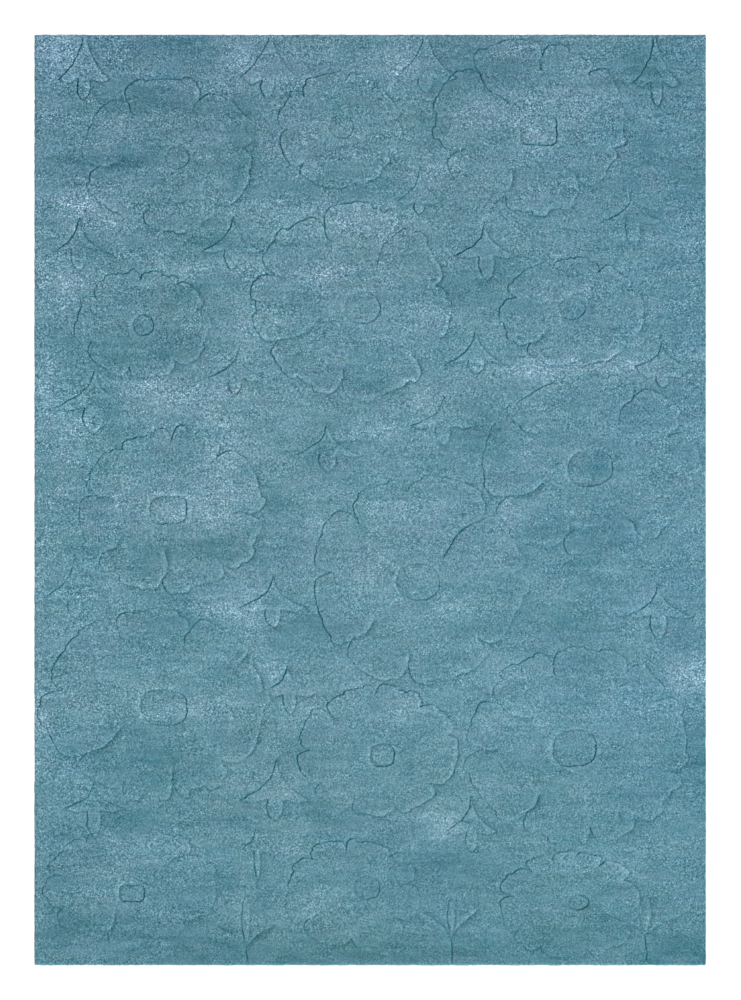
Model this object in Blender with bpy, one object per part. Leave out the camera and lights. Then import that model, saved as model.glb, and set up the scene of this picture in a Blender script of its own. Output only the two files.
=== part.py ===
"""A flat tufted wool rug with carved flowers and buds, as one closed solid. Metres, +Z up."""

import math
from collections import namedtuple

import bpy
import numpy as np
from mathutils import Vector
from mathutils.geometry import delaunay_2d_cdt

# Sizes of the rug
WIDTH = 1.53
LENGTH = 2.12
THICKNESS = 0.013
CORNER_RADIUS = 0.003
CORNER_STEPS = 3

# Cut rim of the pile, as steps in from the edge and the height there
RIM = ((0.0, 0.0085), (0.0025, 0.0115), (0.007, THICKNESS))

# Carved grooves, and how near to a groove's middle line a point counts as its bottom
GROOVE_WIDTH = 0.005
GROOVE_DEPTH = 0.0045
GROOVE_BOTTOM = 0.0006
MITRE_LIMIT = 1.6

# How finely the curves are divided, and the grid that their points are rounded to
POINTS_A_PETAL = 6
POINTS_A_RING = 10
POINTS_A_LEAF = 3
GRID = 0.0005
PASSES = 3

# Petals
OUTLINE_NOTCH = 0.17
NOTCH_BEND = 12.0
PETAL_SQUARENESS = 3.2
LOBE_SPAN = 19.0
LOBE_DEPTH = 0.022

# angles of a flower's notches in degrees from +X, each with its depth as a share of the radius
Flower = namedtuple("Flower", "x y rx ry eye_x eye_y eye_rx eye_ry eye_power notches")
FLOWERS = (
    Flower(-0.461, 0.786, 0.196, 0.173, -0.440, 0.779, 0.028, 0.027, 2.0,
           ((5, 0.14), (60, 0.34), (128, 0.36), (189, 0.34), (247, 0.34), (315, 0.22))),
    Flower(-0.067, 0.843, 0.141, 0.137, -0.067, 0.850, 0.027, 0.028, 2.0,
           ((11, 0.10), (52, 0.12), (84, 0.17), (137, 0.20), (180, 0.12), (222, 0.18),
            (279, 0.12), (333, 0.20))),
    Flower(0.364, 0.854, 0.221, 0.198, 0.383, 0.841, 0.042, 0.034, 5.0,
           ((15, 0.12), (41, 0.16), (80, 0.30), (134, 0.62), (200, 0.24), (250, 0.40),
            (310, 0.36), (345, 0.12))),
    Flower(-0.518, 0.399, 0.157, 0.125, -0.516, 0.399, 0.024, 0.024, 2.0,
           ((16, 0.12), (50, 0.12), (93, 0.20), (150, 0.14), (200, 0.12), (252, 0.22),
            (311, 0.22))),
    Flower(-0.041, 0.449, 0.228, 0.223, -0.019, 0.437, 0.042, 0.036, 2.0,
           ((12, 0.12), (58, 0.50), (110, 0.30), (160, 0.26), (207, 0.60), (262, 0.28),
            (319, 0.30))),
    Flower(0.458, 0.428, 0.162, 0.128, 0.460, 0.437, 0.031, 0.024, 2.0,
           ((22, 0.14), (56, 0.16), (113, 0.16), (165, 0.22), (217, 0.50), (270, 0.10),
            (335, 0.40))),
    Flower(-0.456, -0.025, 0.214, 0.192, -0.459, -0.023, 0.041, 0.031, 4.0,
           ((358, 0.30), (49, 0.26), (89, 0.18), (128, 0.08), (168, 0.26), (212, 0.30),
            (264, 0.50), (314, 0.30))),
    Flower(0.109, -0.183, 0.251, 0.233, 0.107, -0.187, 0.048, 0.041, 2.4,
           ((5, 0.12), (44, 0.62), (98, 0.10), (135, 0.28), (175, 0.16), (222, 0.42),
            (263, 0.24), (316, 0.22))),
    Flower(0.501, 0.077, 0.246, 0.210, 0.501, 0.073, 0.051, 0.042, 2.4,
           ((22, 0.22), (58, 0.42), (105, 0.10), (150, 0.34), (200, 0.50), (250, 0.32),
            (305, 0.30), (355, 0.10))),
    Flower(-0.488, -0.463, 0.264, 0.217, -0.470, -0.472, 0.052, 0.040, 3.0,
           ((27, 0.12), (65, 0.30), (118, 0.26), (172, 0.22), (215, 0.60), (248, 0.12),
            (282, 0.42), (319, 0.20))),
    Flower(0.016, -0.570, 0.185, 0.150, 0.029, -0.581, 0.027, 0.026, 2.8,
           ((12, 0.10), (45, 0.12), (92, 0.16), (142, 0.26), (180, 0.14), (210, 0.12),
            (245, 0.20), (288, 0.12), (328, 0.22))),
    Flower(0.471, -0.558, 0.258, 0.223, 0.465, -0.565, 0.049, 0.042, 2.8,
           ((30, 0.22), (56, 0.14), (107, 0.24), (152, 0.46), (183, 0.26), (233, 0.36),
            (279, 0.15), (309, 0.14), (345, 0.12))),
    Flower(-0.548, -0.877, 0.205, 0.137, -0.544, -0.896, 0.028, 0.019, 4.0,
           ((28, 0.44), (90, 0.12), (135, 0.12), (172, 0.16), (198, 0.20), (245, 0.46),
            (290, 0.10), (326, 0.20))),
    Flower(-0.041, -0.896, 0.157, 0.125, -0.007, -0.882, 0.030, 0.026, 2.0,
           ((10, 0.24), (45, 0.14), (98, 0.20), (140, 0.14), (178, 0.16), (210, 0.34),
            (268, 0.20), (330, 0.16))),
    Flower(0.456, -0.921, 0.164, 0.123, 0.474, -0.916, 0.023, 0.018, 2.0,
           ((25, 0.14), (54, 0.16), (82, 0.10), (112, 0.14), (140, 0.14), (172, 0.18),
            (206, 0.14), (234, 0.12), (290, 0.16), (338, 0.12))),
)

# x, y: where the leaf tips' level crosses the middle; droop: the tips above that level
Bud = namedtuple("Bud", "x y half_width height drop droop")
BUDS = (
    Bud(-0.652, 0.952, 0.059, 0.146, 0.041, 0.005),
    Bud(-0.233, 0.948, 0.066, 0.150, 0.034, 0.014),
    Bud(0.125, 0.952, 0.071, 0.146, 0.023, 0.009),
    Bud(0.652, 0.943, 0.055, 0.146, 0.046, 0.005),
    Bud(-0.664, 0.569, 0.080, 0.075, 0.046, -0.014),
    Bud(-0.315, 0.565, 0.073, 0.082, 0.041, 0.002),
    Bud(0.111, 0.672, 0.050, 0.089, 0.021, 0.011),
    Bud(0.264, 0.551, 0.073, 0.082, 0.052, 0.005),
    Bud(0.597, 0.629, 0.075, 0.066, 0.050, 0.005),
    Bud(-0.630, 0.205, 0.105, 0.100, 0.055, 0.000),
    Bud(-0.308, 0.271, 0.064, 0.071, 0.030, 0.007),
    Bud(-0.098, 0.100, 0.084, 0.078, 0.036, 0.000),
    Bud(0.166, 0.164, 0.075, 0.073, 0.041, 0.005),
    Bud(0.241, 0.314, 0.078, 0.082, 0.027, -0.009),
    Bud(0.665, 0.278, 0.062, 0.080, 0.023, 0.027),
    Bud(-0.673, -0.228, 0.073, 0.103, 0.041, 0.005),
    Bud(-0.222, -0.255, 0.078, 0.084, 0.036, 0.009),
    Bud(0.656, -0.267, 0.082, 0.078, 0.052, 0.000),
    Bud(-0.185, -0.447, 0.066, 0.071, 0.041, 0.009),
    Bud(-0.217, -0.688, 0.080, 0.105, 0.041, 0.005),
    Bud(-0.630, -0.711, 0.068, 0.066, 0.059, 0.009),
    Bud(0.230, -0.761, 0.059, 0.089, 0.041, 0.007),
    Bud(-0.258, -0.802, 0.032, 0.068, 0.064, 0.009),
)

# x, y: where the leaves leave the stem
Sprout = namedtuple("Sprout", "x y half_width petal_height leaf_rise stem")
SPROUTS = (
    Sprout(-0.283, -1.007, 0.059, 0.105, 0.046, 0.050),
    Sprout(0.184, -0.985, 0.052, 0.078, 0.055, 0.078),
    Sprout(0.626, -0.980, 0.082, 0.082, 0.046, 0.078),
)

WOOL_COLOUR = (0.127, 0.279, 0.347, 1.0)


def clear_scene():
    for obj in list(bpy.data.objects):
        bpy.data.objects.remove(obj, do_unlink=True)


def uneven(x, y):
    """A share from -1 to 1 that varies smoothly over the rug, so that no two petals match."""
    return 0.6 * math.sin(31.0 * x + 17.0 * y) + 0.4 * math.sin(23.0 * y - 41.0 * x + 1.3)


def ellipse_radius(rx, ry, angle, power=2.0):
    across = abs(math.cos(angle) / rx) ** power
    along = abs(math.sin(angle) / ry) ** power
    return (across + along) ** (-1.0 / power)


def petal_outline(flower):
    """Points of one flower's edge: a petal between each two notches, with small lobes on it."""
    points = []
    notches = sorted(flower.notches)
    for index, (start, start_depth) in enumerate(notches):
        end, end_depth = notches[(index + 1) % len(notches)]
        span = (end - start) % 360
        lobes = max(1, round(span / LOBE_SPAN))
        middle = math.radians(start + span / 2)
        swell = 0.035 * uneven(flower.x + math.cos(middle), flower.y + math.sin(middle))
        steps = max(4, round(POINTS_A_PETAL * span / 45))
        for step in range(steps):
            share = step / steps
            depth = start_depth if share < 0.5 else end_depth
            depth = min(depth, OUTLINE_NOTCH)
            dip = depth * abs(2 * share - 1) ** PETAL_SQUARENESS
            ripple = LOBE_DEPTH * abs(math.cos(math.pi * lobes * share)) ** 2
            angle = math.radians(start + span * share)
            radius = ellipse_radius(flower.rx, flower.ry, angle)
            radius *= 1.0 + swell * math.sin(math.pi * share) - dip - ripple
            points.append((flower.x + radius * math.cos(angle), flower.y + radius * math.sin(angle)))
    return points


def notch_lines(flower):
    """The lines that run on inwards from a flower's deeper notches."""
    lines = []
    for degrees, depth in flower.notches:
        if depth <= OUTLINE_NOTCH + 0.05:
            continue
        line = []
        for share in (0.0, 0.5, 1.0):
            inward = 1.0 - LOBE_DEPTH - OUTLINE_NOTCH - (depth - OUTLINE_NOTCH) * share
            bend = NOTCH_BEND * (depth - OUTLINE_NOTCH) * math.sin(math.pi * share)
            angle = math.radians(degrees + bend)
            radius = inward * ellipse_radius(flower.rx, flower.ry, angle)
            line.append((flower.x + radius * math.cos(angle), flower.y + radius * math.sin(angle)))
        lines.append(line)
    return lines


def eye_ring(flower):
    points = []
    for step in range(POINTS_A_RING):
        angle = 2 * math.pi * (step + 0.5) / POINTS_A_RING
        radius = ellipse_radius(flower.eye_rx, flower.eye_ry, angle, flower.eye_power)
        points.append((flower.eye_x + radius * math.cos(angle), flower.eye_y + radius * math.sin(angle)))
    return points


def bud_outline(bud):
    """Apex, two leaves that sweep down and out to their tips, and a rounded tongue below."""
    right = []
    for step in range(POINTS_A_LEAF + 1):
        share = step / POINTS_A_LEAF
        x = bud.half_width * (0.1 * share + 0.9 * share ** 2.4)
        y = bud.height * (1 - share) + bud.droop * share
        right.append((x, y))
    tongue = 0.2 * bud.half_width
    right.append((0.6 * bud.half_width, -0.03 * bud.height))
    right.append((tongue, 0.05 * bud.height))
    right.append((0.9 * tongue, -0.75 * bud.drop))
    bottom = [(0.0, -bud.drop)]
    left = [(-x, y) for x, y in reversed(right[1:])]
    lean = 0.08 * uneven(bud.x, bud.y)
    return [(bud.x + x + lean * y, bud.y + y) for x, y in right + bottom + left]


def sprout_lines(sprout):
    """A closed upright petal, two rising leaves and a stem that runs off the rug's edge."""
    petal = []
    for step in range(8):
        turn = 2 * math.pi * step / 8
        x = 0.16 * sprout.half_width * math.sin(turn)
        y = 0.55 * sprout.petal_height * (1 - math.cos(turn)) * 0.9
        petal.append((sprout.x + x, sprout.y + y))
    lines = []
    for side in (-1, 1):
        leaf = []
        for step in range(POINTS_A_LEAF + 1):
            share = step / POINTS_A_LEAF
            x = side * sprout.half_width * share
            y = sprout.leaf_rise * share ** 0.7 - 0.25 * sprout.leaf_rise
            leaf.append((sprout.x + x, sprout.y + y))
        lines.append(leaf)
    foot = -0.25 * sprout.leaf_rise
    lines.append([(sprout.x, sprout.y + foot), (sprout.x + 0.004, sprout.y - sprout.stem)])
    return petal, lines


def carved_curves():
    """Every groove's middle line, as (points, closed)."""
    curves = []
    for flower in FLOWERS:
        curves.append((petal_outline(flower), True))
        curves.append((eye_ring(flower), True))
        curves.extend((line, False) for line in notch_lines(flower))
    curves.extend((bud_outline(bud), True) for bud in BUDS)
    for sprout in SPROUTS:
        petal, lines = sprout_lines(sprout)
        curves.append((petal, True))
        curves.extend((line, False) for line in lines)
    return [(np.array(points), closed) for points, closed in curves]


def segments_of(points, closed):
    ends = np.roll(points, -1, axis=0)
    pairs = np.stack([points, ends], axis=1)
    return pairs if closed else pairs[:-1]


def set_off(points, closed, distance):
    """The curve moved sideways by a distance, with mitred corners and with its open ends closed."""
    if distance == 0:
        return points
    ahead = np.roll(points, -1, axis=0) - points
    if not closed:
        ahead[-1] = ahead[-2]
    ahead /= np.maximum(np.linalg.norm(ahead, axis=1, keepdims=True), 1e-9)
    behind = np.roll(ahead, 1, axis=0)
    if not closed:
        behind[0] = ahead[0]
    mean = ahead + behind
    mean /= np.maximum(np.linalg.norm(mean, axis=1, keepdims=True), 1e-9)
    mitre = np.clip(1.0 / np.maximum((mean * ahead).sum(axis=1), 0.1), 1.0, MITRE_LIMIT)
    sideways = np.stack([mean[:, 1], -mean[:, 0]], axis=1)
    moved = points + distance * mitre[:, None] * sideways
    if closed:
        return moved
    first = points[0] - ahead[0] * abs(distance)
    last = points[-1] + ahead[-1] * abs(distance)
    return np.concatenate([[first], moved, [last]])


def border(inset):
    """The rug's edge, moved in by inset, with rounded corners."""
    half_x = WIDTH / 2 - inset
    half_y = LENGTH / 2 - inset
    radius = max(CORNER_RADIUS - inset, 0.0)
    points = []
    for quarter, (side_x, side_y) in enumerate(((1, 1), (-1, 1), (-1, -1), (1, -1))):
        steps = CORNER_STEPS if radius > 0.001 else 0
        for step in range(steps + 1):
            angle = math.pi / 2 * (quarter + (step / steps if steps else 0.5))
            x = side_x * (half_x - radius) + radius * math.cos(angle)
            y = side_y * (half_y - radius) + radius * math.sin(angle)
            points.append((x, y))
    return np.array(points)


def clipped(segment):
    """The part of a segment inside the rug, or None."""
    start, end = segment
    low, high = 0.0, 1.0
    for axis, half in ((0, WIDTH / 2), (1, LENGTH / 2)):
        step = end[axis] - start[axis]
        for side in (-1, 1):
            room = half - side * start[axis]
            move = side * step
            if abs(move) < 1e-12:
                if room < 0:
                    return None
            elif move > 0:
                high = min(high, room / move)
            else:
                low = max(low, room / move)
    if high - low < 1e-6:
        return None
    return np.array([start + (end - start) * low, start + (end - start) * high])


def distance_to(points, segments):
    """Each point's distance to the nearest segment."""
    nearest = np.full(len(points), 1.0)
    for start, end in segments:
        along = end - start
        length = max(float(along @ along), 1e-12)
        share = np.clip((points - start) @ along / length, 0.0, 1.0)
        gap = np.linalg.norm(points - start - share[:, None] * along, axis=1)
        nearest = np.minimum(nearest, gap)
    return nearest


def edge_distance(points):
    return np.minimum(WIDTH / 2 - np.abs(points[:, 0]), LENGTH / 2 - np.abs(points[:, 1]))


def heights(points, middles):
    """The pile's height at each point: the rounded rim, less the grooves."""
    insets = [inset for inset, height in RIM]
    levels = [height for inset, height in RIM]
    height = np.interp(edge_distance(points), insets, levels)
    bottom = distance_to(points, middles) < GROOVE_BOTTOM
    return height - np.where(bottom, GROOVE_DEPTH * height / THICKNESS, 0.0)


def plan():
    """(points, triangles, the grooves' middle segments) of the rug seen from above."""
    middles = []
    lines = []
    for points, closed in carved_curves():
        middles.extend(segments_of(points, closed))
        for distance in (-GROOVE_WIDTH / 2, 0.0, GROOVE_WIDTH / 2):
            lines.extend(segments_of(set_off(points, closed, distance), closed))
    lines = [part for part in map(clipped, lines) if part is not None]
    for inset, level in RIM:
        lines.extend(segments_of(border(inset), True))
    points = np.array(lines).reshape(-1, 2)
    edges = np.arange(len(points)).reshape(-1, 2)
    for _ in range(PASSES):
        points, edges, triangles = divided(points, edges)
    return points, triangles, np.array(middles)


def divided(points, edges):
    """Rounds the points to the grid, joins those that meet, and triangulates."""
    cells, index = np.unique(np.round(points / GRID).astype(int), axis=0, return_inverse=True)
    index = index.reshape(-1)
    edges = np.sort(index[edges], axis=1)
    edges = np.unique(edges[edges[:, 0] != edges[:, 1]], axis=0)
    corners = [Vector((x * GRID, y * GRID)) for x, y in cells.tolist()]
    found = delaunay_2d_cdt(corners, edges.tolist(), [], 0, 1e-7)
    points = np.array([tuple(corner) for corner in found[0]])
    kept = [pair for pair, source in zip(found[1], found[4]) if source]
    return points, np.array(kept), np.array(found[2])


def ordered_rim(triangles):
    """The corners along the outside, in order."""
    ends = np.concatenate([triangles[:, [0, 1]], triangles[:, [1, 2]], triangles[:, [2, 0]]])
    there = set(map(tuple, ends.tolist()))
    following = {a: b for a, b in there if (b, a) not in there}
    first = min(following)
    rim = [first]
    while following[rim[-1]] != first:
        rim.append(following[rim[-1]])
    return rim


def turned_up(points, triangles):
    first, second, third = (points[triangles[:, column]] for column in range(3))
    one = second - first
    other = third - first
    area = one[:, 0] * other[:, 1] - one[:, 1] * other[:, 0]
    triangles = triangles[np.abs(area) > 1e-12]
    area = area[np.abs(area) > 1e-12]
    return np.where(area[:, None] > 0, triangles, triangles[:, ::-1])


def rug_mesh():
    points, triangles, middles = plan()
    triangles = turned_up(points, triangles)
    rim = ordered_rim(triangles)
    top = np.column_stack([points, heights(points, middles)])
    foot = np.column_stack([points[rim], np.zeros(len(rim))])
    base = len(top)
    faces = triangles.tolist()
    for step, corner in enumerate(rim):
        after = (step + 1) % len(rim)
        faces.append([rim[after], corner, base + step])
        faces.append([rim[after], base + step, base + after])
    corners = [Vector(point[:2]) for point in foot.tolist()]
    loop = [[step, (step + 1) % len(rim)] for step in range(len(rim))]
    under = np.array(delaunay_2d_cdt(corners, loop, [], 0, 1e-9)[2])
    under = turned_up(foot[:, :2], under)
    faces.extend((under[:, ::-1] + base).tolist())
    mesh = bpy.data.meshes.new("wool_rug")
    mesh.from_pydata(np.concatenate([top, foot]).tolist(), [], faces)
    mesh.update()
    return mesh


def wool():
    material = bpy.data.materials.new("wool")
    material.use_nodes = True
    shader = material.node_tree.nodes["Principled BSDF"]
    shader.inputs["Base Color"].default_value = WOOL_COLOUR
    shader.inputs["Roughness"].default_value = 0.9
    return material


def main():
    clear_scene()
    rug = bpy.data.objects.new("wool_rug", rug_mesh())
    rug.data.materials.append(wool())
    bpy.context.scene.collection.objects.link(rug)


main()
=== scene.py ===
"""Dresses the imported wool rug: its carved cut pile, rim, backing and wool.

It also makes a plain floor, soft studio light and a camera overhead. All lengths are in metres.
"""

import math
from collections import namedtuple

import bpy
import numpy as np
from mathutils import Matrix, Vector
from mathutils.geometry import delaunay_2d_cdt

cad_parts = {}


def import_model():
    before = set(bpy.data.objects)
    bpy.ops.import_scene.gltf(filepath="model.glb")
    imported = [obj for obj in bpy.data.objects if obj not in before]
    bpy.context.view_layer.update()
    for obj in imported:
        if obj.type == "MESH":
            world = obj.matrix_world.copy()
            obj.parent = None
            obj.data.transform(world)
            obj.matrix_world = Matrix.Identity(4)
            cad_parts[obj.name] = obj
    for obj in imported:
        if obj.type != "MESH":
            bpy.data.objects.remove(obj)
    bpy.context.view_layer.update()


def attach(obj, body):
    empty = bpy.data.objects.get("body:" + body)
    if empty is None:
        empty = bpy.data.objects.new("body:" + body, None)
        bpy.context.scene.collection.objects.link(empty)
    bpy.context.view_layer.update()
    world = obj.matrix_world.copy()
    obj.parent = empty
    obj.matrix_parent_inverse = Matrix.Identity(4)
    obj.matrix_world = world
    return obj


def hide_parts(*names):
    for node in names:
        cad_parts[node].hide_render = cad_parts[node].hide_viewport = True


# Sizes of the rug
WIDTH = 1.53
LENGTH = 2.12
THICKNESS = 0.013
BACKING = 0.0026
HALF_SIDES = np.array([WIDTH / 2, LENGTH / 2])

# The pile's top: how far it lies below the full thickness, and the height and length of its waves
TOP_BELOW = 0.0003
LONG_WAVE = (0.00022, 0.05)
SHORT_WAVE = (0.00010, 0.012)

# Cut rim of the pile, from the flat top out and down to the backing: steps in from the edge, and heights
TOP_INSET = 0.0075
RIM = (
    (0.0052, 0.01285),
    (0.0031, 0.0123),
    (0.0014, 0.0112),
    (0.0003, 0.0092),
    (0.0000, 0.0062),
    (0.0004, 0.0029),
    (0.0014, 0.0025),
    (0.0016, 0.0000),
)
RIM_STEP = 0.0040
CORNER_RADIUS = 0.003
TIGHTEST_RADIUS = 0.0004

# Grooves that run off the rug dent its rim down to this height
LOWEST_DENT = BACKING + 0.001

# The rim is uneven: how far in and out it goes, over how many steps along it and rows down it. A point past
# ON_THE_EDGE of a half side moves across that side
RIM_UNEVEN = 0.0006
SHORT_UNEVEN_STEPS = 1.7
SHORT_UNEVEN_ROWS = 3.0
LONG_UNEVEN_STEPS = 9.0
LONG_UNEVEN_SHARE = 0.4
ON_THE_EDGE = 0.985

# Painted light on the wool close to the edge, at three steps in from it: a painted highlight along the edge, and
# painted shade just inside the right one
RIM_PAINTED_LIGHT_INSETS = (0.0014, 0.0031, 0.0052)
RIGHT_RIM_PAINTED_LIGHT = (0.05, -0.07, 0.0)
OTHER_RIM_PAINTED_LIGHT = (0.10, 0.05, 0.0)

# Carved grooves: their depth, and the mesh lines along them, as steps towards the groove's sloped side
GROOVE_DEPTH = 0.0040
GROOVE_LINES = (0.0, -0.0006, 0.0021, -0.0014, 0.0039, -0.0034)
EVEN_GROOVE_REACH = 0.003
BOTTOM = 0.0003
STEEP_SIDE = 0.0009
SLOPED_SIDE = 0.0034
SLOPE_POWER = 1.4

# The crest of pile that the blade brushes up beside a groove
CREST_PLACE = 0.0034
CREST_WIDTH = 0.0020
CREST_RISE = 0.0003

# How far from its middle line a groove can still change the pile
CARVED_REACH = 0.009

# Steps of the mesh along the carved curves and between the points of the plain pile, and how far and over
# what length the plain points are shifted
CURVE_STEP = 0.0036
PLAIN_STEP = 0.0125
PLAIN_JITTER = (0.0018, 0.007)

# How near a plain point may lie to a curve, a carved point to another, and any point to the rim
NEAREST_PLAIN = 0.0075
NEAREST_CARVED = 0.0009
NEAREST_RIM = 0.0012

# A hand-held blade strays: how far, and over what length
WANDER = (0.0014, 0.018)
QUIVER = (0.0009, 0.007)

# Its depth comes and goes: the mean, least and greatest share, and the lengths over which it turns
MEAN_CUT = 0.76
FAINTEST = 0.46
FULLEST = 1.1
LONG_TURN = 0.05
SHORT_TURN = 0.018
SHORT_TURN_SHARE = 0.6

# slope: 1 where the sloped side lies outside the curve, -1 where it lies inside, 0 where both sides are alike
# depth: as a share of GROOVE_DEPTH; unsteady: how much it comes and goes
# lean: how much fainter the cut is on the side towards the light
Cut = namedtuple("Cut", "slope depth unsteady lean")
PETAL_CUT = Cut(1, 1.0, 0.62, 0.2)
RING_CUT = Cut(-1, 0.95, 0.45, 0.3)
NOTCH_CUT = Cut(0, 1.0, 0.75, 0.0)
BUD_CUT = Cut(1, 0.95, 0.6, 0.25)
SPROUT_CUT = Cut(1, 0.8, 0.75, 0.35)
LEAF_CUT = Cut(0, 0.8, 0.75, 0.0)

# Squarer rings are cut deeper, and so are the buds towards the rug's top
SQUARE_RING_DEEPER = 0.08
TOP_BUDS_DEEPER = 0.2

# How deep each flower is carved, in the order of FLOWERS
FLOWER_DEPTHS = (1.0, 1.15, 1.0, 1.1, 1.0, 1.0, 1.0, 0.95, 0.75, 0.9, 0.9, 0.75, 0.6, 0.75, 0.75)

# Petals, as shares of the flower's radius, and the fewest points of one
OUTLINE_NOTCH = 0.17
PETAL_SQUARENESS = 8.5
PETAL_SWELL = 0.035
PETAL_STEPS = 40

# Notches deeper than this run on inwards as a line, which starts a little inside the notch and bends, in degrees
LINE_NOTCH = OUTLINE_NOTCH + 0.05
LINE_START = 0.022
NOTCH_BEND = 12.0
NOTCH_STEPS = 8

# A petal's edge runs on in stretches, with a short jog in or out between them; spans in degrees
STRETCH_SPAN = 10.0
JOG_SPAN = 1.2
JOG_DEPTH = 0.075
STRETCH_BULGE = 0.008

# Centre rings: points round each, and how far from an even oval it is
RING_STEPS = 48
RING_UNEVEN = 0.05

# Buds: how a leaf sweeps out, in a straight part and a curved one, as shares of the bud's half width
LEAF_STEPS = 12
LEAF_STRAIGHT = 0.12
LEAF_CURVED = 0.88
LEAF_POWER = 2.9

# The leaf's underside, as shares of the bud's half width and height
LEAF_UNDERSIDE = ((0.62, -0.02), (0.38, 0.03))

# The tongue's half width, as a share of the bud's; its top, in its own half width and the bud's height; and
# its sides, in its own half width and the drop
TONGUE_WIDTH = 0.24
TONGUE_TOP = (0.85, 0.06)
TONGUE_SIDE = ((1.0, -0.25), (0.82, -0.6), (0.4, -0.9))
BUD_LEAN = 0.08

# Sprouts: half width and height of the petal, how the leaves curl, and where they leave the stem
SPROUT_PETAL = (0.16, 0.495)
SPROUT_STEPS = 24
SPROUT_LEAF_STEPS = 8
LEAF_CURL = 0.7
SPROUT_FOOT = 0.25
STEM_LEAN = 0.004

# Light: the even part, and the part that comes from the lower right
EVEN_LIGHT = 0.75
SIDE_LIGHT = 0.65
SIDE_ELEVATION = 40.0
SIDE_AZIMUTH = -28.0
SIDE_SPREAD = 20.0
TOWARDS_LIGHT = (math.cos(math.radians(SIDE_AZIMUTH)), math.sin(math.radians(SIDE_AZIMUTH)))

# The share of a colour value as seen that the wool's own colour has in this light
GAMMA = 2.2
LIGHT_SHARE = (1.0 / (EVEN_LIGHT + SIDE_LIGHT)) ** (1 / GAMMA)

# The view from straight above, with the rug a little off the middle of the frame
FRAME_HEIGHT = 2.2765
CAMERA_DISTANCE = 10.0
CAMERA_X = 0.0007
SENSOR = 36.0

# The floor
FLOOR_HALF_SIDE = 30.0
FLOOR_BELOW = 0.0003
FLOOR_COLOUR = (0.92, 0.92, 0.92, 1.0)

# Painted shade of the carved bevel is darkest this far out in the flowers, as a share of the radius
DARKEST_REACH = 0.90

# How strongly the painted sheen and shade of the nap places show, and how fast each fades outwards
NAP_STRENGTH = 1.6
NAP_FALL = 0.7

# Scales of the pile's noises, in changes a metre: yarn ends are finer than tufts
TUFTS = 215.0
YARN_ENDS = 420.0
COARSE = 90.0
CLUMPS = 34.0
FLECKS = 105.0

# Bands of noise: changes a metre across, along and up, and their detail
ROWS = ((8.0, 66.0, 0.0), 1.0)
LINES = ((12.0, 150.0, 0.0), 1.0)
DRIFT = ((9.0, 16.0, 0.0), 2.0)
NAP_BREAKS = ((22.0, 60.0, 0.0), 2.0)
CALM = ((13.0, 26.0, 0.0), 2.0)
RED_TINT = ((18.0, 38.0, 0.0), 2.0)
BLUE_TINT = ((16.0, 40.0, 5.0), 2.0)
WEFT_SLUBS = ((5.0, 240.0, 0.0), 1.0)
WARP_SLUBS = ((240.0, 5.0, 3.0), 1.0)

# Weights of the pile's noises in its tone and in its relief
GRAIN = {"fine": 0.045, "sharp": 0.39, "tufts": 0.215, "coarse": 0.01}
RELIEF = {"fine": 0.4, "sharp": 0.5, "tufts": 0.8, "coarse": 0.25}
BRIGHTER_BRIGHTS = 0.9
FLECK_TONE = 0.070

# Weights of the slower changes of tone, then of painted light: painted shade in the grooves, a painted highlight
# on the brushed pile beside them, and painted shade on the wool low in a groove or at the rim
CLUMP_TONE = 0.025
DRIFT_TONE = 0.105
ROW_TONE = 0.105
LINE_TONE = 0.035
GROOVE_PAINTED_SHADE = -0.052
CREST_PAINTED_HIGHLIGHT = 0.10
LOW_PAINTED_SHADE = -0.01

# The wool's colour as seen, and what its red and blue take from the tints, the slow changes and the painted
# shade in the grooves
WOOL = (0.3835, 0.5565, 0.618)
RED_SHARES = (0.06, 0.25, -0.10)
BLUE_SHARES = (0.04, 0.08)

# Plain woven cotton under the pile
THREADS = {"Scale": 110.0, "Distortion": 0.6}
DARK_COTTON = (0.30, 0.27, 0.21, 1.0)
PALE_COTTON = (0.50, 0.46, 0.38, 1.0)
WEAVE_RELIEF = 0.25

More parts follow.
